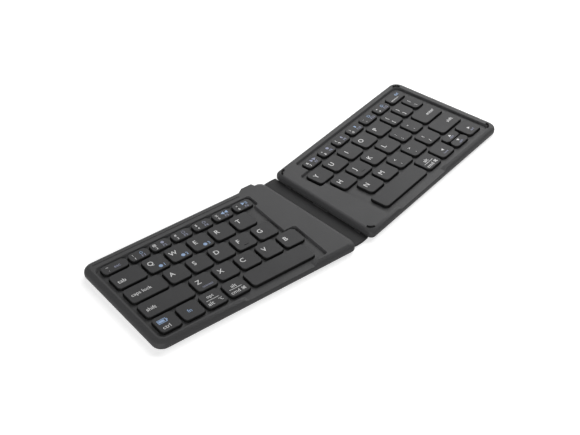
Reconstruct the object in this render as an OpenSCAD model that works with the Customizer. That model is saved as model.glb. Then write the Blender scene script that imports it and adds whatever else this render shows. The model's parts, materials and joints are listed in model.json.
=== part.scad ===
// Folding keyboard, open flat: two mirrored halves joined by a hinge spine.
// X runs across the hinge, Y runs along it towards the back edge, Z is up from the table.

/* [Halves] */
// Length of one half's back edge, from the hinge to the outer end
half_length = 149.3; // [148:0.1:152]
// Depth of one half, from its back edge to its front edge
half_depth = 95.5; // [95:0.1:98]
// Turn of each half in plan, which opens the V between the two back edges
half_turn = 7.03; // [5:0.1:8]
// Distance from the middle of the hinge to the corner that each half is measured from
corner_x = 8.1; // [8:0.05:8.2]
// Radius of the two outer corners
outer_corner_r = 7.5; // [6:0.5:9]
// Radius of the two corners at the hinge, where the walls are widest
hinge_corner_r = 3.4; // [2:0.2:3.6]

/* [Heights above the table] */
// Underside of the base shells
base_z = 0.5; // [0.4:0.1:0.6]
// Parting line between base shell and top cover
parting_z = 3; // [2.8:0.1:3.2]
// Top of the deck between the keys
deck_z = 5.4; // [5.2:0.1:5.6]
// Top of the rim and of the plain area beside the hinge
rim_z = 7.1; // [6.9:0.1:7.3]
// Top of the keys at rest
key_top_z = 7.35; // [7.2:0.05:7.6]
// Height of the two hinge axes
hinge_z = 1.2; // [1.1:0.05:1.3]

/* [Rim] */
// How far the rim's top edge lies inside the wall along the hinge
hinge_inset = 2.1; // [1.6:0.1:2.4]
// The same along the back edge
back_inset = 2.4; // [2:0.1:2.8]
// The same at the outer end
outer_inset = 4.2; // [3.6:0.1:4.8]
// The same along the front edge
front_inset = 3.2; // [2.6:0.1:3.6]

/* [Hinge] */
// Distance between the two hinge axes
axis_spacing = 12.9; // [12.9:0.1:14]
// Distance from a hinge axis to the wall of its half
wall_setback = 1.1; // [1.1:0.05:1.3]
// Radius of the round edges of the spine and of the knuckles
knuckle_r = 0.8; // [0.7:0.05:0.8]
// Radius of the steel hinge pins
pin_r = 0.4; // [0.35:0.05:0.45]
// Running clearance around the pins in the knuckles of the halves
pin_play = 0.05; // [0.03:0.01:0.08]
// Gap around whatever turns at the hinge
hinge_gap = 0.3; // [0.25:0.05:0.35]
// Length of one knuckle
knuckle_length = 5; // [4:0.5:6]

/* [Keys] */
// Width and depth of a letter key
letter_w = 15.8; // [15.4:0.1:15.8]
letter_d = 15; // [14.6:0.1:15]
// Depth of the keys in the back row
top_row_d = 8.8; // [8.4:0.1:9]
// Gap between two keys of a row
key_gap = 2.2; // [2.2:0.1:2.4]
// Distance from one row to the next
row_pitch = 17.2; // [17.2:0.1:17.4]
// Distance from the back edge to the front of the left half's back row
left_row_front = 19; // [18.9:0.1:19.2]
// The same on the right half, where the rows lie further back
right_row_front = 18.1; // [18:0.1:18.4]
// Corner radius of a key
key_r = 3; // [2.5:0.1:3.2]
// Bevel around the top of a key
key_bevel = 0.4; // [0.3:0.05:0.5]
// Clearance between a key and its window in the deck
window_gap = 0.45; // [0.4:0.05:0.5]
// How far a key travels
key_travel = 1.5; // [1.2:0.1:1.6]

/* [Charging socket] */
// Width and height of the socket's shell
socket_w = 8.9; // [8.9:0.1:9.2]
socket_h = 3.2; // [3.1:0.1:3.3]

/* [Hidden] */
$fn = 48;
LEFT = 0;
RIGHT = 1;
eps = 0.01;

slant = tan(half_turn);
hinge_x = axis_spacing / 2;
wall_x = hinge_x + wall_setback;
// Inset of the outer end at its widest level
end_inset = 0.2;
outline_y = [for (p = half_outline(0, 0, end_inset, 0)) p[0] * sin(half_turn) + p[1] * cos(half_turn)];
// Y of the point where the hinge wall meets the back edge, so that the outline is centred
corner_y = -(max(outline_y) + min(outline_y)) / 2;

wall_t = 1.4;
floor_t = 0.9;
lip_h = 0.8;
deck_t = 1;
cap_t = 1;
plate_z = 1.8;
plate_t = 0.4;
sheet_t = 0.2;
sheet_z = plate_z + plate_t;
dome_z = sheet_z + sheet_t;
// A pressed cap stops this far above the membrane
cap_stop = 0.8;
cap_bottom_z = dome_z + cap_stop + key_travel;
boss_z = cap_bottom_z + 0.6;
cap_side_t = 1.2;
boss_r = 1.5;
// Dome: radii of its collar, of the cone's foot and top, and of the pip that the cap's boss rests on
collar_r = 3;
collar_h = 0.4;
CONE_R = [2.7, 1.7];
pip_r = 1.4;
pip_h = 0.6;
board_t = 0.7;
board_top = base_z + floor_t + board_t;
foot_r = 4;
foot_h = 0.9;

// The cover turns in towards its top along power curves, later where the number is higher
HINGE_CURVE = 16;
BACK_CURVE = 3.6;
OUTER_CURVE = 3;
FRONT_CURVE = 3.4;
// Levels of the curves, from the parting line to the top
RIM_LEVELS = [0, 0.3, 0.5, 0.65, 0.76, 0.84, 0.9, 0.94, 0.97, 0.99, 1];
// Each level of a profile: height, then the inset of the hinge, back, outer and front sides
RIM_PROFILE = [for (t = RIM_LEVELS) [
    parting_z + t * (rim_z - parting_z),
    hinge_inset * pow(t, HINGE_CURVE),
    back_inset * pow(t, BACK_CURVE),
    end_inset + (outer_inset - end_inset) * pow(t, OUTER_CURVE),
    front_inset * pow(t, FRONT_CURVE)
]];
BASE_PROFILE = [
    [base_z, 0.5, 1.4, 1.6, 1.4],
    [0.7, 0.25, 0.95, 1.1, 0.95],
    [1, 0.1, 0.6, 0.7, 0.6],
    [1.8, 0, 0.1, end_inset + 0.1, 0.1],
    [parting_z, 0, 0, end_inset, 0]
];

// Key widths of each row, from the outer end towards the hinge
LETTERS = [for (i = [1:5]) letter_w];
NUMBERS = [for (i = [1:6]) 14.95];
LEFT_ROWS = [
    concat([19.3], NUMBERS),
    concat([23], LETTERS),
    concat([28.6], LETTERS),
    concat([37.8], LETTERS),
    [15.8, 15.8, 15.8, 15.8, 51]
];
RIGHT_ROWS = [
    concat([17.4], NUMBERS),
    concat([10.9, 12, 12.1], LETTERS),
    concat([22.9, 12.3, 12.4], [for (i = [1:4]) letter_w]),
    concat([25.2], LETTERS),
    [14.8, 15.8, 15.2, 15.8, 50.9]
];
ROWS = [LEFT_ROWS, RIGHT_ROWS];
// Outer end of every row, measured from the hinge corner
ROW_END = [140.3, 138.3];
// Row and place of the key that is split into an upper and a lower half
SPLIT_KEY = [RIGHT, 4, 1];
split_gap = 0.8;
// The two halves together are this much deeper than a letter key
split_extra = 0.4;
split_d = (letter_d + split_extra - split_gap) / 2;

// Top edges of the key wells as rectangles that overlap. Each has two opposite corners, as
// distances from the hinge corner and from the back edge
LEFT_WELL = [
    [[18.6, 8.4], [143.9, 91]],
    [[15.5, 8.4], [60, 20.4]],
    [[9.5, 54.2], [60, 91]]
];
RIGHT_WELL = [
    [[15.8, 5.3], [142.6, 91.3]],
    [[6.1, 17.5], [60, 36.7]],
    [[11.8, 17.5], [60, 91.3]]
];
WELLS = [LEFT_WELL, RIGHT_WELL];

// Front cut-out for the thumbs: ends of the low stretch and length of its ramps
cut_start = 24;
cut_end = 78;
cut_ramp = 6;
cut_back = 86.5;
// Corner radii of the wells: at the outer end, and along the steps beside the hinge
well_end_r = 4.5;
well_step_r = 2;
// How far the walls of a well lean in from its top edge to the deck
well_draft = 0.8;

// Pockets under the plain areas beside the hinge, in the same way
POCKETS = [
    [[3, 9], [14, 9], [14, 21], [17.5, 21], [17.5, 52.2], [8.6, 52.2], [8.6, 90], [-7.5, 90]],
    [[3, 9], [14.3, 9], [14.3, 16.2], [4.9, 16.2], [4.9, 38.5], [10.6, 38.5], [10.6, 90], [-7.5, 90]]
];
// Key plates and membranes, in the same way
PLATES = [
    [[142, 9.4], [20.6, 9.4], [20.6, 55.5], [12, 55.5], [12, 90], [142, 90]],
    [[140, 8.6], [8.5, 8.6], [8.5, 36], [13.5, 36], [13.5, 90], [140, 90]]
];
post_r = 2.5;
POSTS = [[30, 26], [75, 26], [120, 26], [30, 62], [75, 62], [120, 62]];
FEET = [[16, 13], [136, 13], [136, 82], [4, 82]];
// Magnets at the outer ends: size, and distance of their middles from the hinge corner and the back edge
MAGNET = [2.2, 8, 2.4];
magnet_u = 146;
MAGNETS = [22, 72];

// Corner bumpers: centre, radius and the direction of the middle of each arc
BUMPERS = [
    [[4.2, -7.3], 3.6, 117],
    [[140.4, -7.7], 3, 45],
    [[140.4, -88.2], 3, -45],
    [[-4, -87.7], 4.8, 219]
];
bumper_arc = 5.8;
bumper_w = 1.1;
bumper_top = rim_z + 0.8;

// Block behind the left back edge for the charging socket, and the groove along that edge
socket_u = 10.8;
socket_back = 1;
socket_z = board_top + socket_h / 2;
socket_depth = 7.3;
socket_t = 0.3;
socket_back_t = 1;
// The tongue stands in the shell and ends inside its mouth
TONGUE = [6.6, 5.6, 0.7];
SOCKET_BLOCK = [[6.7, socket_back], [15.2, socket_back], [19.8, -2], [19.8, -7], [4.6, -7], [5.2, -2.8]];
GROOVE_ENDS = [22, 142];
groove_v = 6.2;
groove_w = 1.4;
groove_depth = 0.3;

// Hinge: places of the knuckles along it, ends of the spine, and the flat cable
KNUCKLES = [24, -44];
spine_back = 38.9;
spine_front = -53.9;
spine_bulge = 0.6;
flex_y = -8;
flex_w = 12;
flex_t = 0.15;
flex_z = base_z + floor_t + 0.1;
flex_play = 0.1;
flex_reach = corner_x + 4;
connector_w = 3;
connector_h = 1.2;
// The cable passes through a guide on each half that fills the break in the spine's edge. The guide
// is as high as the cable needs, and the break has room for its upper corner to turn in
guide_length = flex_w + 2;
guide_z = 1.9;
guide_gap = 0.4;
// Tails of the membranes, left to the control board and right to the cable: near corner and length
TAILS = [[16.9, 30, 6], [1, 42, 14]];
tail_w = 8;

// Pieces in the front part and the middle of the left half's plain area, as near corners and sizes
BATTERY_AT = [-2.5, -86.5];
BATTERY = [10.4, 30, 3.6];
battery_r = 1.5;
BOARD_AT = [5.5, -51];
BOARD = [11.4, 48.8];
// Arm of the board that reaches the cable
ARM_AT = [1, -51];
ARM = [5, 10];
CHIPS = [
    [[7, -24], [6, 6, 0.9]],
    [[7, -42], [4, 5, 1.1]],
    [[14.5, -TAILS[LEFT][1] - tail_w], [2.4, tail_w, 0.8]]
];

KEYS = concat(
    [["key_escape", LEFT, [[0, 0]]]],
    [["keys_numbers_left", LEFT, [for (i = [1:6]) [0, i]]]],
    [["key_tab", LEFT, [[1, 0]]]],
    [for (i = [0:4]) [str("key_", "qwert"[i]), LEFT, [[1, i + 1]]]],
    [["key_caps_lock", LEFT, [[2, 0]]]],
    [for (i = [0:4]) [str("key_", "asdfg"[i]), LEFT, [[2, i + 1]]]],
    [["key_shift_left", LEFT, [[3, 0]]]],
    [for (i = [0:4]) [str("key_", "zxcvb"[i]), LEFT, [[3, i + 1]]]],
    [["keys_modifiers_left", LEFT, [for (i = [0:3]) [4, i]]]],
    [["key_space_left", LEFT, [[4, 4]]]],
    [["keys_numbers_right", RIGHT, [for (i = [0:6]) [0, i]]]],
    [for (i = [0:4]) [str("key_", "poiuy"[i]), RIGHT, [[1, i + 3]]]],
    [["keys_punctuation", RIGHT, [[1, 0], [1, 1], [1, 2], [2, 1], [2, 2], [3, 1], [3, 2], [3, 3]]]],
    [for (i = [0:3]) [str("key_", "lkjh"[i]), RIGHT, [[2, i + 3]]]],
    [["key_enter", RIGHT, [[2, 0]]]],
    [for (i = [0:1]) [str("key_", "mn"[i]), RIGHT, [[3, i + 4]]]],
    [["key_shift_right", RIGHT, [[3, 0]]]],
    [["keys_arrows", RIGHT, [for (i = [0:3]) [4, i]]]],
    [["key_space_right", RIGHT, [[4, 4]]]]
);
HOMING_KEYS = ["key_f", "key_j"];
// Size of the bar on a homing key, half of it sunk, and its distance from the cap's front edge
HOMING_BAR = [3.5, 0.7, 0.5];
homing_front = 3;
function is_homing(name) = len([for (h = HOMING_KEYS) if (h == name) h]) > 0;

PIECES = [
    "left_base_shell", "left_top_cover", "left_key_plate", "left_membrane", "left_domes",
    "battery", "control_board", "charging_socket", "left_magnets", "left_feet",
    "hinge_spine", "hinge_pins", "flex_cable",
    "right_base_shell", "right_top_cover", "right_key_plate", "right_membrane", "right_domes",
    "right_magnets", "right_feet", "corner_bumpers"
];

shell_colour = [0.13, 0.13, 0.14];
key_colour = [0.09, 0.09, 0.095];
rubber_colour = [0.05, 0.05, 0.05];
steel_colour = [0.62, 0.63, 0.65];

// Frames: inside a half, X runs from the hinge outwards and Y runs back
module in_half(side) {
    if (side == LEFT)
        translate([-corner_x, corner_y, 0]) rotate([0, 0, -half_turn]) mirror([1, 0, 0]) children();
    else
        translate([corner_x, corner_y, 0]) rotate([0, 0, half_turn]) children();
}
module on_side(side) {
    if (side == LEFT) mirror([1, 0, 0]) children();
    else children();
}

// Plan outlines
function unit(v) = v / norm(v);
function fillet(a, p, b, r, n) =
    let(d1 = unit(a - p), d2 = unit(b - p), half = acos(d1 * d2) / 2)
    let(c = p + unit(d1 + d2) * r / sin(half))
    let(s = p + d1 * r / tan(half) - c, e = p + d2 * r / tan(half) - c)
    let(a1 = atan2(s[1], s[0]), turn = atan2(e[1], e[0]) - a1)
    let(sweep = turn > 180 ? turn - 360 : turn < -180 ? turn + 360 : turn)
    [for (i = [0:n]) c + r * [cos(a1 + sweep * i / n), sin(a1 + sweep * i / n)]];
function rounded(points, radii, n = 6) =
    let(m = len(points))
    [for (i = [0:m - 1]) each fillet(points[(i + m - 1) % m], points[i], points[(i + 1) % m], radii[i], n)];
function half_corners(hinge, back, outer, front) =
    let(shift = (hinge + wall_x - corner_x) / cos(half_turn))
    let(far = half_length - outer, near = half_depth - front) [
        [shift - slant * back, -back],
        [far, -back],
        [far, -near],
        [shift - slant * near, -near]
    ];
function half_outline(hinge, back, outer, front, n = 6) =
    let(outer_r = outer_corner_r - outer / 2)
    let(radii = [hinge_corner_r + 1.4 * back, outer_r, outer_r, hinge_corner_r + front / 4])
    rounded(half_corners(hinge, back, outer, front), radii, n);
function inset_outline(inset) = half_outline(inset, inset, inset, inset, 4);
function flip(points) = [for (p = points) [p[0], -p[1]]];
function sum(list, count) = count == 0 ? 0 : list[count - 1] + sum(list, count - 1);

// Place and size of a key in its half: near corner from the hinge, front edge, width, depth
function key_width(side, row, i) = ROWS[side][row][i];
function key_start(side, row, i) = ROW_END[side] - sum(ROWS[side][row], i + 1) - key_gap * i;
function row_front(side, row) = (side == LEFT ? left_row_front : right_row_front) + row_pitch * row;
function row_depth(row) = row == 0 ? top_row_d : letter_d;
function is_split(side, row, i) = [side, row, i] == SPLIT_KEY;
// Front edges and depth of the caps that make up one key position
function cap_fronts(side, row, i) =
    let(front = row_front(side, row), lower = front + split_extra)
    is_split(side, row, i) ? [lower, lower - split_d - split_gap] : [front];
function cap_depth(side, row, i) = is_split(side, row, i) ? split_d : row_depth(row);
function key_positions(side) =
    [for (row = [0:4]) for (i = [0:len(ROWS[side][row]) - 1]) [row, i]];

// Shapes
module stacked(profile) {
    hull() for (s = profile)
        translate([0, 0, min(s[0], profile[len(profile) - 1][0] - eps)])
            linear_extrude(eps) polygon(half_outline(s[1], s[2], s[3], s[4]));
}
module rounded_block(w, d, h, r) {
    translate([r, 0, 0]) cube([w - 2 * r, d, h]);
    translate([0, r, 0]) cube([w, d - 2 * r, h]);
    for (x = [r, w - r], y = [r, d - r]) translate([x, y, 0]) cylinder(h = h, r = r);
}
// Straight sides, then a bevel that runs around the top edge
module bevelled_block(w, d, h, r, c) {
    rounded_block(w, d, h - c, r);
    for (x = [r, w - r], y = [r, d - r]) translate([x, y, h - c]) cylinder(h = c, r1 = r, r2 = r - c);
    translate([0, d - r, h - c]) rotate([90, 0, 0])
        linear_extrude(d - 2 * r) polygon([[0, 0], [w, 0], [w - c, c], [c, c]]);
    translate([r, 0, h - c]) rotate([90, 0, 90])
        linear_extrude(w - 2 * r) polygon([[0, 0], [d, 0], [d - c, c], [c, c]]);
}
module stadium(w, h, length) {
    for (x = [-1, 1]) translate([x * (w - h) / 2, 0, 0]) rotate([90, 0, 0]) cylinder(h = length, r = h / 2);
    translate([-(w - h) / 2, -length, -h / 2]) cube([w - h, length, h]);
}

// Block behind the left back edge that houses the charging socket
module socket_block(low, high) {
    translate([0, 0, low]) linear_extrude(high - low) polygon(SOCKET_BLOCK);
}
module socket_opening() {
    translate([socket_u, socket_back + 1, socket_z]) stadium(socket_w + 0.3, socket_h + 0.3, 11);
}

// Keycaps, domes and windows at every key position
module keycap(w, d) {
    difference() {
        translate([0, 0, cap_bottom_z]) bevelled_block(w, d, key_top_z - cap_bottom_z, key_r, key_bevel);
        translate([cap_side_t, cap_side_t, cap_bottom_z - eps])
            cube([w - 2 * cap_side_t, d - 2 * cap_side_t, key_top_z - cap_t - cap_bottom_z + eps]);
    }
    translate([w / 2, d / 2, boss_z]) cylinder(h = key_top_z - cap_t / 2 - boss_z, r = boss_r);
}
module homing_bar(w) {
    translate([(w - HOMING_BAR[0]) / 2, homing_front, key_top_z - HOMING_BAR[2] / 2]) cube(HOMING_BAR);
}
module keys(entry) {
    color(key_colour) in_half(entry[1]) for (k = entry[2]) {
        w = key_width(entry[1], k[0], k[1]);
        d = cap_depth(entry[1], k[0], k[1]);
        for (front = cap_fronts(entry[1], k[0], k[1]))
            translate([key_start(entry[1], k[0], k[1]), -front, 0]) keycap(w, d);
        if (is_homing(entry[0]))
            translate([key_start(entry[1], k[0], k[1]), -row_front(entry[1], k[0]), 0]) homing_bar(w);
    }
}
module windows(side) {
    for (k = key_positions(side)) {
        fronts = cap_fronts(side, k[0], k[1]);
        last = fronts[len(fronts) - 1];
        w = key_width(side, k[0], k[1]) + 2 * window_gap;
        d = fronts[0] - last + cap_depth(side, k[0], k[1]) + 2 * window_gap;
        translate([key_start(side, k[0], k[1]) - window_gap, -fronts[0] - window_gap, deck_z - deck_t - 1])
            rounded_block(w, d, deck_t + 3, key_r + window_gap);
    }
}
module domes(side) {
    color("whitesmoke") in_half(side) for (k = key_positions(side))
        for (front = cap_fronts(side, k[0], k[1]))
            translate([
                key_start(side, k[0], k[1]) + key_width(side, k[0], k[1]) / 2,
                cap_depth(side, k[0], k[1]) / 2 - front,
                dome_z
            ]) {
                cylinder(h = collar_h, r = collar_r);
                cylinder(h = boss_z - dome_z - pip_h, r1 = CONE_R[0], r2 = CONE_R[1]);
                cylinder(h = boss_z - dome_z, r = pip_r);
            }
}

// Shells
// Tapered hollow with a leaning wall all round, from the deck to as far above the rim
module well_cell(c) {
    radii = [for (x = [c[1][0], c[0][0], c[0][0], c[1][0]]) x > half_length / 2 ? well_end_r : well_step_r];
    hull() for (end = [[deck_z, well_draft], [2 * rim_z - deck_z, -well_draft]]) {
        near = c[0] + end[1] * [1, 1];
        far = c[1] - end[1] * [1, 1];
        translate([0, 0, end[0]]) linear_extrude(eps)
            polygon(rounded(flip([[far[0], near[1]], near, [near[0], far[1]], far]), radii, 5));
    }
}
module thumb_cut() {
    translate([0, -cut_back, 0]) rotate([90, 0, 0]) linear_extrude(half_depth)
        polygon([
            [cut_start - cut_ramp, rim_z + eps], [cut_start, deck_z],
            [cut_end, deck_z], [cut_end + cut_ramp, rim_z + eps]
        ]);
}
module top_cover(side) {
    color(shell_colour) in_half(side) difference() {
        union() {
            stacked(RIM_PROFILE);
            translate([0, 0, parting_z - lip_h]) linear_extrude(lip_h + 0.2) polygon(inset_outline(wall_t + 0.1));
            if (side == LEFT) socket_block(parting_z, rim_z);
        }
        for (c = WELLS[side]) well_cell(c);
        thumb_cut();
        windows(side);
        linear_extrude(deck_z - deck_t) polygon(inset_outline(2 * wall_t));
        translate([0, 0, deck_z - deck_t - eps]) linear_extrude(rim_z - deck_z)
            polygon(rounded(flip(POCKETS[side]), [for (p = POCKETS[side]) 1.5], 3));
        for (v = MAGNETS) translate([magnet_u, -v, 0]) magnet();
        if (side == LEFT) socket_opening();
        if (side == LEFT) back_groove();
        if (side == RIGHT) bumpers();
    }
}
module back_groove() {
    translate([GROOVE_ENDS[0], -groove_v, rim_z - groove_depth])
        cube([GROOVE_ENDS[1] - GROOVE_ENDS[0], groove_w, groove_depth + 1]);
}
module base_shell(side) {
    color(shell_colour) difference() {
        union() {
            in_half(side) {
                stacked(BASE_PROFILE);
                if (side == LEFT) socket_block(base_z + 0.6, parting_z);
            }
            on_side(side) {
                for (y = KNUCKLES) knuckle_arm(y, knuckle_length, hinge_z);
                knuckle_arm(flex_y, guide_length, guide_z);
            }
        }
        in_half(side) {
            difference() {
                translate([0, 0, base_z + floor_t]) linear_extrude(parting_z) polygon(inset_outline(wall_t));
                for (p = POSTS) translate([p[0], -p[1], 0]) cylinder(h = plate_z, r = post_r);
            }
            for (p = FEET) translate([p[0], -p[1], 0]) cylinder(h = foot_h, r = foot_r);
            if (side == LEFT) intersection() {
                socket_opening();
                translate([0, -2 * wall_t, board_top]) cube([30, 10, 10]);
            }
        }
        on_side(side) {
            for (y = KNUCKLES) translate([hinge_x, y, hinge_z]) rotate([90, 0, 0])
                cylinder(h = 2 * knuckle_length, r = pin_r + pin_play, center = true);
            translate([hinge_x - knuckle_r - eps, 0, 0]) flex_slot(wall_x - hinge_x + knuckle_r + wall_t + 1);
        }
    }
}

// Hinge: straight slot for the flat cable, open along X, and the knuckles of the halves
module flex_slot(length) {
    translate([0, flex_y - flex_w / 2 - flex_play, flex_z - flex_play])
        cube([length, flex_w + 2 * flex_play, flex_t + 2 * flex_play]);
}
module knuckle_arm(y, length, top) {
    translate([hinge_x, y + length / 2, hinge_z]) rotate([90, 0, 0]) cylinder(h = length, r = knuckle_r);
    translate([hinge_x, y - length / 2, base_z]) cube([wall_setback + 1, length, top - base_z]);
}
// One end of the spine in plan: an arc that bulges over its whole width
function spine_end(y, way) =
    let(r = (hinge_x * hinge_x + spine_bulge * spine_bulge) / (2 * spine_bulge), half = asin(hinge_x / r))
    [for (i = [-4:4]) [way * r * sin(half * i / 4), y + way * (r * cos(half * i / 4) - r)]];
module spine_blank() {
    side_back = spine_back - spine_bulge;
    side_front = spine_front + spine_bulge;
    translate([0, 0, base_z]) linear_extrude(hinge_z + knuckle_r - base_z)
        polygon(concat(spine_end(spine_back, 1), spine_end(spine_front, -1)));
    for (x = [-hinge_x, hinge_x]) translate([x, side_back, hinge_z]) rotate([90, 0, 0])
        cylinder(h = side_back - side_front, r = knuckle_r);
}
module hinge_spine() {
    color(rubber_colour) difference() {
        spine_blank();
        for (x = [-hinge_x, hinge_x]) {
            for (y = KNUCKLES) translate([x, y, hinge_z]) rotate([90, 0, 0]) {
                cylinder(h = knuckle_length + 2 * hinge_gap, r = knuckle_r + hinge_gap, center = true);
                cylinder(h = 3 * knuckle_length, r = pin_r, center = true);
            }
            translate([x, flex_y, hinge_z]) rotate([90, 0, 0])
                cylinder(h = guide_length + 2 * hinge_gap, r = knuckle_r + guide_gap, center = true);
        }
        translate([-axis_spacing, 0, 0]) flex_slot(2 * axis_spacing);
    }
}
module hinge_pins() {
    color(steel_colour) for (x = [-hinge_x, hinge_x], y = KNUCKLES)
        translate([x, y, hinge_z]) rotate([90, 0, 0])
            cylinder(h = 3 * knuckle_length, r = pin_r, center = true);
}
module flex_cable() {
    color([0.16, 0.1, 0.06]) translate([-flex_reach, flex_y - flex_w / 2, flex_z])
        cube([2 * flex_reach, flex_w, flex_t]);
}

// Pieces inside the halves and under them
module key_plate(side) {
    color(steel_colour) in_half(side) translate([0, 0, plate_z]) linear_extrude(plate_t)
        polygon(rounded(flip(PLATES[side]), [for (p = PLATES[side]) 1.5], 3));
}
module membrane(side) {
    color("palegreen") {
        in_half(side) {
            translate([0, 0, sheet_z]) linear_extrude(sheet_t)
                polygon(rounded(flip(PLATES[side]), [for (p = PLATES[side]) 2], 3));
            translate([TAILS[side][0], -TAILS[side][1] - tail_w, sheet_z])
                cube([TAILS[side][2], tail_w, sheet_t]);
        }
        if (side == RIGHT) flex_connector();
    }
}
module battery() {
    color("silver") in_half(LEFT) translate([BATTERY_AT[0], BATTERY_AT[1], base_z + floor_t])
        rounded_block(BATTERY[0], BATTERY[1], BATTERY[2], battery_r);
}
module control_board() {
    color("darkgreen") {
        in_half(LEFT) {
            translate([BOARD_AT[0], BOARD_AT[1], board_top - board_t]) cube([BOARD[0], BOARD[1], board_t]);
            translate([ARM_AT[0], ARM_AT[1], board_top - board_t]) cube([ARM[0], ARM[1], board_t]);
            for (c = CHIPS) translate([c[0][0], c[0][1], board_top]) cube(c[1]);
        }
        mirror([1, 0, 0]) flex_connector();
    }
}
// Connector that a flat cable's end butts against, inside either half
module flex_connector() {
    translate([flex_reach, flex_y - flex_w / 2, base_z + floor_t]) cube([connector_w, flex_w, connector_h]);
}
module charging_socket() {
    color(steel_colour) in_half(LEFT) translate([socket_u, socket_back, socket_z]) {
        difference() {
            stadium(socket_w, socket_h, socket_depth);
            translate([0, eps, 0])
                stadium(socket_w - 2 * socket_t, socket_h - 2 * socket_t, socket_depth - socket_back_t);
        }
        translate([-TONGUE[0] / 2, -socket_depth + socket_back_t / 2, -TONGUE[2] / 2]) cube(TONGUE);
    }
}
module magnet() {
    translate([-MAGNET[0] / 2, -MAGNET[1] / 2, parting_z - lip_h]) cube(MAGNET);
}
module magnets(side) {
    color("silver") in_half(side) for (v = MAGNETS) translate([magnet_u, -v, 0]) magnet();
}
module feet(side) {
    color(rubber_colour) in_half(side) for (p = FEET) translate([p[0], -p[1], 0])
        cylinder(h = foot_h, r = foot_r);
}
module bumpers() {
    for (b = BUMPERS) {
        angle = bumper_arc / b[1] * 180 / PI;
        translate([b[0][0], b[0][1], rim_z - 1]) rotate([0, 0, b[2] - angle / 2])
            rotate_extrude(angle = angle) translate([b[1] - bumper_w / 2, 0])
                square([bumper_w, bumper_top - rim_z + 1]);
    }
}
module corner_bumpers() {
    color(rubber_colour) in_half(RIGHT) bumpers();
}

base_shell(LEFT);  // left_base_shell
top_cover(LEFT);  // left_top_cover
key_plate(LEFT);  // left_key_plate
membrane(LEFT);  // left_membrane
domes(LEFT);  // left_domes
battery();
control_board();
charging_socket();
magnets(LEFT);  // left_magnets
feet(LEFT);  // left_feet
hinge_spine();
hinge_pins();
flex_cable();
base_shell(RIGHT);  // right_base_shell
top_cover(RIGHT);  // right_top_cover
key_plate(RIGHT);  // right_key_plate
membrane(RIGHT);  // right_membrane
domes(RIGHT);  // right_domes
magnets(RIGHT);  // right_magnets
feet(RIGHT);  // right_feet
corner_bumpers();
for (k = KEYS)
    keys(k);
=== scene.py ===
import json
import math
from collections import namedtuple

import bmesh
import bpy
from mathutils import Matrix, Quaternion, Vector

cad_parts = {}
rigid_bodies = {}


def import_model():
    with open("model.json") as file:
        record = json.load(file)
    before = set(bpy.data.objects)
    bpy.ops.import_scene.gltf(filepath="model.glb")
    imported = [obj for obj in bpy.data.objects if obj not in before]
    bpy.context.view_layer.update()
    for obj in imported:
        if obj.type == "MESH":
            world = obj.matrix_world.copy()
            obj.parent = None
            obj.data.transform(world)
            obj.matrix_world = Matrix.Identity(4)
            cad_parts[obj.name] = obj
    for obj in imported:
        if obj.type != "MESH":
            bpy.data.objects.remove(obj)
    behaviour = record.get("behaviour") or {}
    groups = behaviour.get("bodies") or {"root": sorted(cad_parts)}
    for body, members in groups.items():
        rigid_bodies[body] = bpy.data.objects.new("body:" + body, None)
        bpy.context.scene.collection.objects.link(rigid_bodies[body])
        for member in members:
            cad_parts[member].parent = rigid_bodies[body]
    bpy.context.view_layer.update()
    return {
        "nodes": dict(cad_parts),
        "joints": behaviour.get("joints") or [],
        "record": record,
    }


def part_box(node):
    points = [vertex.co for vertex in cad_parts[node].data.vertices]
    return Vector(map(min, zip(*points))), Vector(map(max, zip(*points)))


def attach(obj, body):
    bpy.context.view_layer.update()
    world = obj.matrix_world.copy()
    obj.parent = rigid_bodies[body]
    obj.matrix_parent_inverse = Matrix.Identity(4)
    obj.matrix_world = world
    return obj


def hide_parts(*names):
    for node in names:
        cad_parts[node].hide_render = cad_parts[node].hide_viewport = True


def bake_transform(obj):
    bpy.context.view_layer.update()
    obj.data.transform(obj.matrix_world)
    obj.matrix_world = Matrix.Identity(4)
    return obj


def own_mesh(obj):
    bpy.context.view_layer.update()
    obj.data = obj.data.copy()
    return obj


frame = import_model()

# Sizes are written in millimetres and turned into metres with MM
MM = 0.001

# Turn of each half in plan, to either side of the hinge
HALF_TURN = math.radians(7.03)
# A half's plan axes in the row's frame: x runs right along its key rows, y runs back
HALF_AXES = {
    "left_half": Matrix.Rotation(-HALF_TURN, 4, "Z"),
    "right_half": Matrix.Rotation(HALF_TURN, 4, "Z"),
}

# Camera: where it stands, the point that it looks at, and its lens on a 36 mm sensor
CAMERA_PLACE = Vector((-543.3, -544.7, 631.1)) * MM
CAMERA_AIM = Vector((-19.4, -3.8, 5.4)) * MM
CAMERA_ROLL = math.radians(-0.49)
CAMERA_LENS = 87.37

# Share of the world's and the floor's white that lights the object, and that rays which show them see
WORLD_LIGHTING = 0.03
WORLD_SHOWN = 1.0
FLOOR_WHITE = 0.75
FLOOR_GLOW_SHOWN = 0.52

# Softboxes: place and breadth in metres, and watts
SOFTBOXES = {
    "softbox_back_right": ((0.75, 0.75, 0.75), 0.9, 9.6),
    "softbox_right": ((0.55, 0.05, 0.4), 0.5, 3.3),
    "softbox_front_left": ((-1.8, -1.6, 0.9), 1.2, 50),
    "softbox_left": ((-0.9, 0.1, 0.25), 0.5, 1.6),
}

# Colours, linear
SHELL_BLACK = (0.042, 0.042, 0.043)
CAP_BLACK = (0.025, 0.025, 0.026)
# Painted shade on the keycaps' upright sides, standing in for the shade between the keys
CAP_SIDE_PAINTED_SHADE = (0.006, 0.006, 0.006)
SPINE_BLACK = (0.015, 0.015, 0.0155)
RUBBER_BLACK = (0.006, 0.006, 0.006)
PRINT_WHITE = (0.66, 0.66, 0.66)
PRINT_BLUE = (0.27, 0.38, 0.57)
PRINT_VIOLET = (0.25, 0.265, 0.36)


# Scene: camera, floor and light

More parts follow.
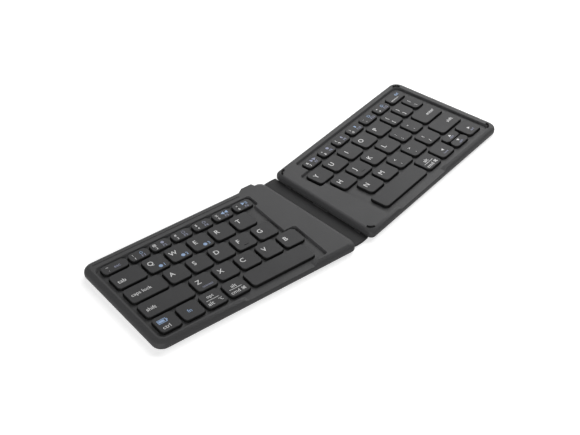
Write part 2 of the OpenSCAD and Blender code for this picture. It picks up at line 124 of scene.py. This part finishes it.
def stand_camera():
    camera = bpy.data.objects.new("camera", bpy.data.cameras.new("camera"))
    bpy.context.scene.collection.objects.link(camera)
    camera.data.sensor_width = 36
    camera.data.lens = CAMERA_LENS
    camera.location = CAMERA_PLACE
    camera.rotation_mode = "QUATERNION"
    looking = (CAMERA_AIM - CAMERA_PLACE).to_track_quat("-Z", "Y")
    camera.rotation_quaternion = looking @ Quaternion((0, 0, 1), CAMERA_ROLL)
    camera.data.clip_start = 0.01
    bpy.context.scene.camera = camera


def lay_floor():
    bm = bmesh.new()
    bmesh.ops.create_grid(bm, x_segments=1, y_segments=1, size=3)
    floor = piece_from(bm, "floor", floor_paper())


def softbox(name, place, breadth, watts):
    lamp = bpy.data.lights.new(name, "AREA")
    lamp.shape = "DISK"
    lamp.size = breadth
    lamp.energy = watts
    holder = bpy.data.objects.new(name, lamp)
    bpy.context.scene.collection.objects.link(holder)
    holder.location = place
    holder.rotation_mode = "QUATERNION"
    holder.rotation_quaternion = (-Vector(place)).to_track_quat("-Z", "Y")


def light_studio():
    world = bpy.data.worlds.new("studio")
    bpy.context.scene.world = world
    world.use_nodes = True
    nodes, links = world.node_tree.nodes, world.node_tree.links
    background = nodes["Background"]
    level = nodes.new("ShaderNodeMapRange")
    level.inputs["To Min"].default_value = WORLD_LIGHTING
    level.inputs["To Max"].default_value = WORLD_SHOWN
    links.new(showing_ray(nodes, links), level.inputs["Value"])
    links.new(level.outputs["Result"], background.inputs["Strength"])
    background.inputs["Color"].default_value = (1, 1, 1, 1)
    for name, (place, breadth, watts) in SOFTBOXES.items():
        softbox(name, place, breadth, watts)


def showing_ray(nodes, links):
    """1 for rays from the camera, off gloss and through glass"""
    path = nodes.new("ShaderNodeLightPath")
    shown = path.outputs["Is Camera Ray"]
    for ray in ("Is Glossy Ray", "Is Transmission Ray"):
        either = nodes.new("ShaderNodeMath")
        either.operation = "MAXIMUM"
        links.new(shown, either.inputs[0])
        links.new(path.outputs[ray], either.inputs[1])
        shown = either.outputs[0]
    return shown


# Materials

def new_material(name):
    material = bpy.data.materials.new(name)
    material.use_nodes = True
    return material, material.node_tree.nodes, material.node_tree.links


def floor_paper():
    """White paper that keeps the object's shadow, and glows a little for rays that show it"""
    material, nodes, links = new_material("floor_paper")
    shader = nodes["Principled BSDF"]
    shader.inputs["Base Color"].default_value = (FLOOR_WHITE, FLOOR_WHITE, FLOOR_WHITE, 1)
    shader.inputs["Roughness"].default_value = 0.9
    shader.inputs["Specular IOR Level"].default_value = 0.1
    shader.inputs["Emission Strength"].default_value = 1
    glow = nodes.new("ShaderNodeMix")
    glow.data_type = "RGBA"
    glow.inputs["A"].default_value = (0, 0, 0, 1)
    glow.inputs["B"].default_value = (FLOOR_GLOW_SHOWN, FLOOR_GLOW_SHOWN, FLOOR_GLOW_SHOWN, 1)
    links.new(showing_ray(nodes, links), glow.inputs["Factor"])
    links.new(glow.outputs["Result"], shader.inputs["Emission Color"])
    return material


def grain_group():
    """Moulded grain: a fine bump, and patches a little lighter and duller than the rest"""
    group = bpy.data.node_groups.new("moulded_grain", "ShaderNodeTree")
    face = group.interface
    for name, value in (("Grain Scale", 3000.0), ("Patchiness", 0.1), ("Roughness", 0.5)):
        socket = face.new_socket(name=name, in_out="INPUT", socket_type="NodeSocketFloat")
        socket.default_value = value
    tint = face.new_socket(name="Colour", in_out="INPUT", socket_type="NodeSocketColor")
    tint.default_value = (0.05, 0.05, 0.05, 1)
    face.new_socket(name="Colour", in_out="OUTPUT", socket_type="NodeSocketColor")
    face.new_socket(name="Roughness", in_out="OUTPUT", socket_type="NodeSocketFloat")
    face.new_socket(name="Height", in_out="OUTPUT", socket_type="NodeSocketFloat")
    nodes, links = group.nodes, group.links
    given = nodes.new("NodeGroupInput")
    out = nodes.new("NodeGroupOutput")
    place = nodes.new("ShaderNodeTexCoord")
    grain = nodes.new("ShaderNodeTexNoise")
    grain.inputs["Detail"].default_value = 3
    grain.inputs["Roughness"].default_value = 0.6
    links.new(place.outputs["Object"], grain.inputs["Vector"])
    links.new(given.outputs["Grain Scale"], grain.inputs["Scale"])
    patches = nodes.new("ShaderNodeTexNoise")
    patches.inputs["Scale"].default_value = 60
    patches.inputs["Detail"].default_value = 4
    links.new(place.outputs["Object"], patches.inputs["Vector"])
    spread = nodes.new("ShaderNodeMath")
    spread.operation = "SUBTRACT"
    spread.inputs[1].default_value = 0.5
    links.new(patches.outputs["Fac"], spread.inputs[0])
    amount = nodes.new("ShaderNodeMath")
    amount.operation = "MULTIPLY"
    links.new(spread.outputs[0], amount.inputs[0])
    links.new(given.outputs["Patchiness"], amount.inputs[1])
    gain = nodes.new("ShaderNodeMath")
    gain.operation = "ADD"
    gain.inputs[1].default_value = 1
    links.new(amount.outputs[0], gain.inputs[0])
    lit = nodes.new("ShaderNodeVectorMath")
    lit.operation = "SCALE"
    links.new(given.outputs["Colour"], lit.inputs[0])
    links.new(gain.outputs[0], lit.inputs["Scale"])
    dull = nodes.new("ShaderNodeMath")
    dull.operation = "ADD"
    links.new(given.outputs["Roughness"], dull.inputs[0])
    links.new(amount.outputs[0], dull.inputs[1])
    links.new(lit.outputs[0], out.inputs["Colour"])
    links.new(dull.outputs[0], out.inputs["Roughness"])
    links.new(grain.outputs["Fac"], out.inputs["Height"])
    return group


GRAIN = grain_group()


def grained(name, colour, roughness, scale=3000, depth=0.03, patchiness=0.12, metallic=0.0, shine=0.5):
    """A moulded or brushed finish with the shared grain"""
    material, nodes, links = new_material(name)
    shader = nodes["Principled BSDF"]
    grain = nodes.new("ShaderNodeGroup")
    grain.node_tree = GRAIN
    grain.inputs["Grain Scale"].default_value = scale
    grain.inputs["Patchiness"].default_value = patchiness
    grain.inputs["Roughness"].default_value = roughness
    grain.inputs["Colour"].default_value = (*colour, 1)
    bump = nodes.new("ShaderNodeBump")
    bump.inputs["Strength"].default_value = 0.6
    bump.inputs["Distance"].default_value = depth * MM
    links.new(grain.outputs["Height"], bump.inputs["Height"])
    links.new(grain.outputs["Colour"], shader.inputs["Base Color"])
    links.new(grain.outputs["Roughness"], shader.inputs["Roughness"])
    links.new(bump.outputs["Normal"], shader.inputs["Normal"])
    shader.inputs["Metallic"].default_value = metallic
    shader.inputs["Specular IOR Level"].default_value = shine
    return material


def cap_plastic_painted_shade():
    """Keycap: grained matte top, with painted shade darkening its upright sides"""
    material = grained("cap_plastic_painted_shade", CAP_BLACK, 0.5, scale=3000, depth=0.05, shine=0.1)
    nodes, links = material.node_tree.nodes, material.node_tree.links
    shader = nodes["Principled BSDF"]
    top_colour = shader.inputs["Base Color"].links[0].from_socket
    place = nodes.new("ShaderNodeTexCoord")
    split = nodes.new("ShaderNodeSeparateXYZ")
    links.new(place.outputs["Normal"], split.inputs[0])
    # Painted shade: the less a face points up, the more of the darker side colour it takes
    upward = nodes.new("ShaderNodeMapRange")
    upward.inputs["From Min"].default_value = 0.15
    upward.inputs["From Max"].default_value = 0.65
    links.new(split.outputs["Z"], upward.inputs["Value"])
    painted_side_shade = nodes.new("ShaderNodeMix")
    painted_side_shade.data_type = "RGBA"
    painted_side_shade.inputs["A"].default_value = (*CAP_SIDE_PAINTED_SHADE, 1)
    links.new(upward.outputs["Result"], painted_side_shade.inputs["Factor"])
    links.new(top_colour, painted_side_shade.inputs["B"])
    links.new(painted_side_shade.outputs["Result"], shader.inputs["Base Color"])
    return material


def ink(name, colour):
    return grained(name, colour, 0.5, scale=4000, depth=0.01, patchiness=0.05, shine=0.1)


def make_materials():
    return {
        "shell": grained("shell_plastic", SHELL_BLACK, 0.5, scale=2500, depth=0.08, shine=0.1),
        "keycap": cap_plastic_painted_shade(),
        "spine": grained("spine_plastic", SPINE_BLACK, 0.6, scale=2500, depth=0.03, shine=0.1),
        "rubber": grained("rubber", RUBBER_BLACK, 0.8, scale=4000, depth=0.03, shine=0.05),
        "steel": grained("steel", (0.55, 0.56, 0.58), 0.35, scale=900, depth=0.01, metallic=1.0),
        "nickel": grained("nickel", (0.6, 0.59, 0.56), 0.25, scale=900, depth=0.01, metallic=1.0),
        "membrane": grained("membrane_film", (0.01, 0.01, 0.011), 0.5, scale=500, depth=0.01, shine=0.1),
        "silicone": grained("silicone", (0.012, 0.012, 0.012), 0.6, scale=1500, depth=0.02, shine=0.1),
        "pouch": grained("battery_pouch", (0.5, 0.5, 0.52), 0.4, scale=1200, depth=0.05, metallic=0.8),
        "board": grained("circuit_board", (0.01, 0.09, 0.03), 0.4, scale=2000, depth=0.02),
        "flex": grained("flex_film", (0.03, 0.02, 0.012), 0.5, scale=800, depth=0.01, shine=0.1),
        "white": ink("white_print", PRINT_WHITE),
        "blue": ink("blue_print", PRINT_BLUE),
        "violet": ink("violet_print", PRINT_VIOLET),
    }


# Pieces

# Triangles' corners closer than this are one corner
SAME_SPOT = 0.002 * MM
# A face counts as level when its normal's upward share is past this
LEVEL = 0.9999
# Faces that meet at more than this keep a crisp edge between them
CREASE = math.radians(35)


def piece_from(bm, name, *materials):
    """A mesh object at the origin from a bmesh, which it frees"""
    mesh = bpy.data.meshes.new(name)
    bm.to_mesh(mesh)
    bm.free()
    for material in materials:
        mesh.materials.append(material)
    made = bpy.data.objects.new(name, mesh)
    bpy.context.scene.collection.objects.link(made)
    return made


def body_of(node):
    for body, members in frame["record"]["behaviour"]["bodies"].items():
        if node in members:
            return body


def half_of_key(node):
    joint = next(j for j in frame["joints"] if j["child"] == node)
    return joint["parent"]


def merged_copy(node):
    """The node's mesh as a bmesh, with its triangles joined"""
    bm = bmesh.new()
    bm.from_mesh(frame["nodes"][node].data)
    bmesh.ops.remove_doubles(bm, verts=bm.verts, dist=SAME_SPOT)
    return bm


def join_into(bm, other, material_index=0):
    """Moves another bmesh into bm with one material"""
    for face in other.faces:
        face.material_index = material_index
    mesh = bpy.data.meshes.new("part")
    other.to_mesh(mesh)
    other.free()
    bm.from_mesh(mesh)
    bpy.data.meshes.remove(mesh)


def islands(bm):
    """Groups of vertices that hang together"""
    left = set(bm.verts)
    found = []
    while left:
        group, edge = set(), [left.pop()]
        while edge:
            vert = edge.pop()
            group.add(vert)
            for link in vert.link_edges:
                other = link.other_vert(vert)
                if other in left:
                    left.remove(other)
                    edge.append(other)
        found.append(group)
    return found


def caps_of(node):
    """Lowest and highest corner of each of the node's caps, in its half's axes, from the back left"""
    bm = merged_copy(node)
    bm.transform(HALF_AXES[half_of_key(node)].inverted())
    boxes = []
    for group in islands(bm):
        low = Vector([min(v.co[i] for v in group) for i in range(3)])
        high = Vector([max(v.co[i] for v in group) for i in range(3)])
        high.z = KEY_TOP
        boxes.append((low, high))
    bm.free()
    return sorted(boxes, key=lambda box: (-round(box[1].y, 3), box[0].x))


def bevel(bm, edges, radius, segments):
    bmesh.ops.bevel(
        bm, geom=edges, offset=radius * MM, segments=segments, profile=0.5, affect="EDGES",
        clamp_overlap=True, material=-1,
    )


def shade(bm):
    """Smooth shading, with level faces and creases kept crisp"""
    bm.normal_update()
    for face in bm.faces:
        face.smooth = True
    for edge in bm.edges:
        if len(edge.link_faces) != 2:
            edge.smooth = False
            continue
        level = [abs(face.normal.z) > LEVEL for face in edge.link_faces]
        edge.smooth = level[0] == level[1] and edge.calc_face_angle() < CREASE


# Shells, spine, feet and bumpers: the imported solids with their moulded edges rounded

# Heights between which a node's corners are rounded, and their radius there
PARTING = (2.9, 3.1, 0.2)
WINDOW_EDGE = (5.3, 5.5, 0.2)
RIM_EDGE = (7.0, 7.2, 0.45)
SOLE = (0, 0.6, 0.2)
ROUNDED = {
    "left_top_cover": [PARTING, WINDOW_EDGE, RIM_EDGE],
    "right_top_cover": [PARTING, WINDOW_EDGE, RIM_EDGE],
    "left_base_shell": [PARTING, SOLE],
    "right_base_shell": [PARTING, SOLE],
    "hinge_spine": [(0, 2.5, 0.15)],
    "left_feet": [(-0.1, 0.1, 0.2)],
    "right_feet": [(-0.1, 0.1, 0.2)],
    "corner_bumpers": [(7.5, 8, 0.25)],
}
# Faces within this turn of each other are one face
ONE_FACE = math.radians(0.5)
# Edges that turn by more than this are rounded
CORNER = math.radians(40)


def round_edges(node, materials, slots):
    bm = merged_copy(node)
    bmesh.ops.dissolve_limit(bm, angle_limit=ONE_FACE, verts=bm.verts, edges=bm.edges)
    for low, high, radius in ROUNDED[node]:
        corners = []
        for edge in bm.edges:
            heights = [vert.co.z / MM for vert in edge.verts]
            inside = low <= min(heights) and max(heights) <= high
            if inside and edge.is_convex and edge.calc_face_angle(0) > CORNER:
                corners.append(edge)
        bevel(bm, corners, radius, 2)
    shade(bm)
    made = piece_from(bm, node + "_rounded", materials[slots[node]])
    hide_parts(node)
    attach(made, body_of(node))


# Keycaps

CAP_CORNER = 3.0
CAP_EDGE = 0.4
CAP_WALL = 1.2
CAP_ROOF = 1.0
BOSS_FOOT = 5.32
BOSS_RADIUS = 1.5
HOMING_KEYS = ("key_f", "key_j")
HOMING_BAR = Vector((3.5, 0.7, 0.5)) * MM
HOMING_FRONT = 3.35 * MM
HOMING_CORNER = 0.3
HOMING_EDGE = 0.15


def block(low, high):
    bm = bmesh.new()
    bmesh.ops.create_cube(bm, size=1)
    bmesh.ops.scale(bm, vec=high - low, verts=bm.verts)
    bmesh.ops.translate(bm, vec=(high + low) / 2, verts=bm.verts)
    return bm


def upright(edge):
    return abs(edge.verts[0].co.z - edge.verts[1].co.z) > 0.1 * MM


def top_face(bm):
    return max(bm.faces, key=lambda face: face.calc_center_median().z)


def cap_block(low, high):
    """Keycap: round corners, a soft edge around its top, and a hollow underneath"""
    bm = block(low, high)
    bevel(bm, [edge for edge in bm.edges if upright(edge)], CAP_CORNER, 6)
    bevel(bm, list(top_face(bm).edges), CAP_EDGE, 3)
    floor = min(bm.faces, key=lambda face: face.calc_center_median().z)
    bmesh.ops.inset_region(bm, faces=[floor], thickness=CAP_WALL * MM, use_even_offset=True)
    hollow = bmesh.ops.extrude_discrete_faces(bm, faces=[floor])["faces"][0]
    rise = high.z - low.z - CAP_ROOF * MM
    bmesh.ops.translate(bm, vec=(0, 0, rise), verts=hollow.verts)
    return bm


def boss(low, high):
    """Round boss under the cap's roof, which rests on the dome and is half sunk in the roof"""
    foot, head = BOSS_FOOT * MM, high.z - CAP_ROOF / 2 * MM
    radius = BOSS_RADIUS * MM
    bm = bmesh.new()
    bmesh.ops.create_cone(
        bm, cap_ends=True, segments=24, radius1=radius, radius2=radius, depth=head - foot,
    )
    middle = Vector(((low.x + high.x) / 2, (low.y + high.y) / 2, (foot + head) / 2))
    bmesh.ops.translate(bm, vec=middle, verts=bm.verts)
    return bm


def homing_bar(low, high):
    """Raised bar near the front edge of a homing key, half of it sunk in the cap"""
    middle = Vector(((low.x + high.x) / 2, low.y + HOMING_FRONT, KEY_TOP))
    bm = block(middle - HOMING_BAR / 2, middle + HOMING_BAR / 2)
    bevel(bm, [edge for edge in bm.edges if upright(edge)], HOMING_CORNER, 4)
    bevel(bm, list(top_face(bm).edges), HOMING_EDGE, 2)
    return bm


def mould_caps(node, materials):
    whole = bmesh.new()
    for low, high in caps_of(node):
        join_into(whole, cap_block(low, high))
        join_into(whole, boss(low, high))
        if node in HOMING_KEYS:
            join_into(whole, homing_bar(low, high))
    whole.transform(HALF_AXES[half_of_key(node)])
    shade(whole)
    made = piece_from(whole, node.replace("key", "cap", 1), materials["keycap"])
    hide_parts(node)
    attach(made, node)


# Domes: each key's own


def split_domes(node, materials, slots):
    whole = merged_copy(node)
    whole.verts.index_update()
    turned = HALF_AXES[body_of(node)].inverted()
    domes = []
    for group in islands(whole):
        middle = turned @ (sum((vert.co for vert in group), Vector()) / len(group))
        domes.append((middle, {vert.index for vert in group}))
    for key in frame["nodes"]:
        if not key.startswith("key") or half_of_key(key) != body_of(node):
            continue
        own = set()
        for low, high in caps_of(key):
            for middle, members in domes:
                if low.x < middle.x < high.x and low.y < middle.y < high.y:
                    own |= members
        bm = whole.copy()
        bmesh.ops.delete(bm, geom=[vert for vert in bm.verts if vert.index not in own], context="VERTS")
        shade(bm)
        made = piece_from(bm, key.replace("key", "dome", 1), materials[slots[node]])
        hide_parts(node)
        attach(made, body_of(node))
        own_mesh(made)
    whole.free()


# Flat cable: a strip to each side of the spine's middle, cut across at even steps between the edge of
# the spine's hollow and the knuckle that leads it on, both measured from the pin

HINGE_X = 6.45
SPINE_HOLLOW = 1.2
KNUCKLE_FACE = 0.8
FLEX_FOLDS = 8


def lay_flex(materials, slots):
    low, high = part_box("flex_cable")
    middle_low, middle_high = Vector((0, low.y, low.z)), Vector((0, high.y, high.z))
    for half, strip, away in (
        ("left_half", block(low, middle_high), -1), ("right_half", block(middle_low, high), 1),
    ):
        start = away * (HINGE_X - SPINE_HOLLOW) * MM
        end = away * (HINGE_X - KNUCKLE_FACE) * MM
        for fold in range(FLEX_FOLDS + 1):
            place = start + (end - start) * fold / FLEX_FOLDS
            whole = list(strip.verts) + list(strip.edges) + list(strip.faces)
            bmesh.ops.bisect_plane(strip, geom=whole, plane_co=(place, 0, 0), plane_no=(1, 0, 0))
        shade(strip)
        made = piece_from(strip, "flex_cable_" + half, materials[slots["flex_cable"]])
        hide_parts("flex_cable")
        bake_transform(made)


# Legends: single signs with the height of a capital, words with their width, and plain bars.
# Places run from the cap's left edge and from its back edge: a sign and a bar have their middle
# there, and a word its left end, halfway up

# Height of a capital as a share of the font's size
CAPITAL = 0.682
PRINT_THICKNESS = 0.01
# How far a sign's outline grows, and the signs that this would spoil
BOLDER = 0.025
KEPT_THIN = ("M", "4", "\u2600")
INKS = ("white", "blue", "violet")
Sign = namedtuple("Sign", "body height x y ink", defaults=("white",))
Word = namedtuple("Word", "body width x y ink", defaults=("white",))
Bar = namedtuple("Bar", "width height x y ink", defaults=("white",))


def letter(text):
    return [Sign(text, 3.8, 4.7, 6.35)]


def number(shifted, plain, sign, name, ink="violet"):
    return [
        Sign(shifted, 2.0, 3.4, 3.2),
        Sign(plain, 2.0, 3.5, 6.5),
        Sign(sign, 2.2, 9.7, 3.3, ink),
        Word(name, 1.3 * len(name), 8.6, 6.6, "violet"),
    ]


def pair(upper, lower, x=3.6):
    return [Sign(upper, 2.5, x, 5.4), Sign(lower, 2.5, x, 11.6)]


def two_words(upper, lower, sign, line):
    """Short word over a line, with another and a sign under it"""
    upper_width = 4.2 if upper == "alt" else 5.2
    lower_width = 6.8 if lower == "cmd" else 4.5
    return [
        Word(upper, upper_width, 7.2 - upper_width / 2, line - 2.7),
        Bar(9.8, 0.35, 7.2, line),
        Word(lower, lower_width, 1.7, line + 3.1),
        Sign(sign, 2.4, 11.7, line + 3.0),
    ]


def layer_mark(figure):
    return [Sign("\u25cf", 2.5, 9.3, 11.9, "blue"), Sign(figure, 2.5, 12.3, 11.8, "blue")]


def charge_mark(x, y):
    """Battery, nearly full"""
    return [
        Bar(6.6, 0.5, x, y - 1.6, "blue"), Bar(6.6, 0.5, x, y + 1.6, "blue"),
        Bar(0.5, 2.6, x - 3.05, y, "blue"), Bar(0.5, 2.6, x + 3.05, y, "blue"),
        Bar(4.2, 1.9, x - 0.4, y, "blue"), Bar(0.6, 1.6, x + 3.7, y, "blue"),
    ]


def arrow(text, name, width, x, y, name_y):
    return [Sign(text, 1.8, x, y), Word(name, width, x - width / 2, name_y, "violet")]


LEGENDS = {
    "key_escape": [[
        Sign("~", 2.2, 4.7, 2.9), Sign("`", 2.2, 4.6, 6.6), Word("esc", 4.6, 9.2, 5.1, "violet"),
    ]],
    "keys_numbers_left": [
        number("!", "1", "\u2302", "F1", "blue"), number("@", "2", "\u25cf", "F2"),
        number("#", "3", "\u2600", "F3"), number("$", "4", "\u25cb", "F4"),
        number("%", "5", "\u25c4\u25c4", "F5", "blue"), number("^", "6", "\u25ba||", "F6", "blue"),
    ],
    "key_tab": [[Word("tab", 6.0, 2.8, 8.6)]],
    "key_caps_lock": [[Word("caps lock", 15.4, 2.9, 8.2)]],
    "key_shift_left": [[Word("shift", 7.4, 3.2, 8.0)]],
    "keys_modifiers_left": [
        charge_mark(5.7, 5.3) + [Word("ctrl", 5.8, 2.7, 11.1)],
        [Word("fn", 3.0, 5.7, 7.8, "blue")],
        two_words("opt", "alt", "\u2325", 7.9),
        two_words("alt", "cmd", "\u2318", 8.4),
    ],
    "keys_numbers_right": [
        number("&", "7", "\u25ba\u25ba", "F7"), number("*", "8", "\u25cf", "F8"),
        number("(", "9", "\u25d6", "F9"), number(")", "0", "\u25d7", "F10", "blue"),
        number("_", "-", "\u2600", "F11", "blue"), number("+", "=", "\u2600", "F12", "blue"),
        [Word("backspace", 8.2, 2.1, 6.1), Word("del", 3.9, 10.2, 2.8, "blue")],
    ],
    "keys_punctuation": [
        pair("{", "["), pair("}", "]", 3.3), pair("|", "\\", 4.0),
        pair(":", ";", 3.2), pair("\"", "'", 3.9),
        pair("<", ",", 4.9), pair(">", ".", 5.2), pair("?", "/", 5.1),
    ],
    "key_enter": [[Word("enter", 8.8, 10.2, 8.4)]],
    "key_shift_right": [[Word("shift", 6.4, 14.3, 8.4)]],
    "keys_arrows": [
        two_words("alt", "cmd", "\u2318", 8.7),
        arrow("\u25c4", "home", 5.0, 7.5, 8.4, 11.7),
        arrow("\u25b2", "pgup", 4.2, 7.9, 2.7, 5.2),
        arrow("\u25ba", "end", 3.5, 7.4, 8.3, 11.4),
        arrow("\u25bc", "pgdn", 4.2, 7.9, 2.7, 5.2),
    ],
    "key_q": [letter("Q") + layer_mark("1")],
    "key_w": [letter("W") + layer_mark("2")],
    "key_e": [letter("E") + layer_mark("3")],
    "key_z": [letter("Z") + [Word("connect", 8.3, 4.5, 12.0, "violet")]],
}
for plain in "rtasdfgxcvbpoiuylkjhmn":
    LEGENDS["key_" + plain] = [letter(plain.upper())]


def text_mesh(mark):
    """Flat letters as a bmesh: a sign around the origin, a word from there to the right"""
    curve = bpy.data.curves.new("lettering", "FONT")
    curve.body = mark.body
    if isinstance(mark, Sign):
        curve.size = mark.height * MM / CAPITAL
        curve.offset = 0 if mark.body in KEPT_THIN else BOLDER * MM
    else:
        curve.size = mark.width * MM / len(mark.body)
    curve.resolution_u = 3
    curve.extrude = PRINT_THICKNESS * MM
    holder = bpy.data.objects.new("lettering", curve)
    bpy.context.scene.collection.objects.link(holder)
    graph = bpy.context.evaluated_depsgraph_get()
    graph.update()
    mesh = bpy.data.meshes.new_from_object(holder.evaluated_get(graph))
    bm = bmesh.new()
    bm.from_mesh(mesh)
    bpy.data.objects.remove(holder)
    bpy.data.meshes.remove(mesh)
    xs, ys = [v.co.x for v in bm.verts], [v.co.y for v in bm.verts]
    middle = (min(ys) + max(ys)) / 2
    if isinstance(mark, Sign):
        bmesh.ops.translate(bm, vec=(-(min(xs) + max(xs)) / 2, -middle, 0), verts=bm.verts)
    else:
        size = mark.width * MM / (max(xs) - min(xs))
        bmesh.ops.translate(bm, vec=(-min(xs), -middle, 0), verts=bm.verts)
        bmesh.ops.scale(bm, vec=(size, size, 1), verts=bm.verts)
    return bm


def bar_mesh(mark):
    half = Vector((mark.width / 2, mark.height / 2, PRINT_THICKNESS)) * MM
    return block(-half, half)


def print_legends(node, materials):
    whole = bmesh.new()
    for (low, high), marks in zip(caps_of(node), LEGENDS[node]):
        for mark in marks:
            bm = bar_mesh(mark) if isinstance(mark, Bar) else text_mesh(mark)
            place = Vector((low.x + mark.x * MM, high.y - mark.y * MM, KEY_TOP))
            bmesh.ops.translate(bm, vec=place, verts=bm.verts)
            join_into(whole, bm, INKS.index(mark.ink))
    whole.transform(HALF_AXES[half_of_key(node)])
    name = node.replace("keys_", "legends_").replace("key_", "legend_")
    legend = piece_from(whole, name, *[materials[colour] for colour in INKS])
    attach(legend, node)


# Build

KEY_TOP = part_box("key_q")[1].z

stand_camera()
materials = make_materials()
lay_floor()
light_studio()
slots = {s["node"]: s["material_slot"] for s in frame["record"]["subparts"]}
for node, cad in frame["nodes"].items():
    cad.data.materials.clear()
    cad.data.materials.append(materials[slots[node]])
for node in ROUNDED:
    round_edges(node, materials, slots)
for node in frame["nodes"]:
    if node.startswith("key"):
        mould_caps(node, materials)
for node in ("left_domes", "right_domes"):
    split_domes(node, materials, slots)
lay_flex(materials, slots)
for node in LEGENDS:
    print_legends(node, materials)

bpy.context.scene.view_settings.view_transform = "Standard"
